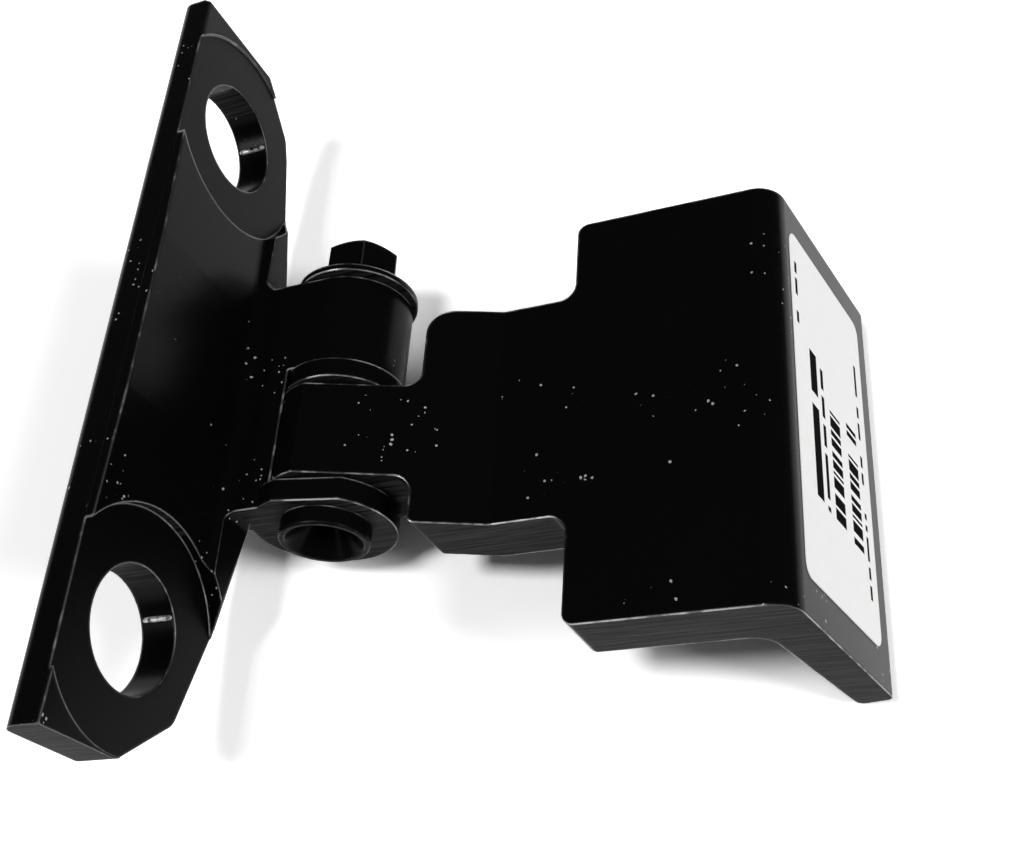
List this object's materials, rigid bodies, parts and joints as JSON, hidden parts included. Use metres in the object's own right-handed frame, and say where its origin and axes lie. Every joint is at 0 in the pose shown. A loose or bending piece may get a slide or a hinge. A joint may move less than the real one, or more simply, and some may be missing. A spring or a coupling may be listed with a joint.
{
  "type": "car door hinge",
  "caption": "Steel car door hinge: a bolt-on pillar plate with eyes, a cranked weld-on door bracket, and a headed pin with a hex screw on which the door side swings.",
  "frame": {"origin": "middle of the two pillar bolt holes, on the plate's mounting face", "axes": "+Z along the pin towards its hex screw, +X from the pillar to the door, +Y to the hinge's back"},
  "size_m": [0.087, 0.0679, 0.1117],
  "materials": {
    "coated_leaf": "satin black dip coat, thin over the edges",
    "coated_pin": "satin black dip coat, thin over the edges",
    "bush_metal": "plain turned",
    "label_film": "matt white"
  },
  "bodies": {
    "pillar_side": {"pillar_leaf": "coated_leaf", "hinge_pin": "coated_pin", "pin_screw": "coated_pin", "head_washer": "coated_pin", "thrust_washer": "coated_pin"},
    "door_side": {"door_leaf": "coated_leaf", "lower_bush": "bush_metal", "upper_bush": "bush_metal", "blank_label": "label_film"}
  },
  "joints": [
    {"name": "door_swing", "type": "hinge", "parent": "pillar_side", "child": "door_side", "pos_m": [0.0187, 0.0182, 0], "axis": [0, 0, -1], "range_deg": [0, 75]}
  ]
}
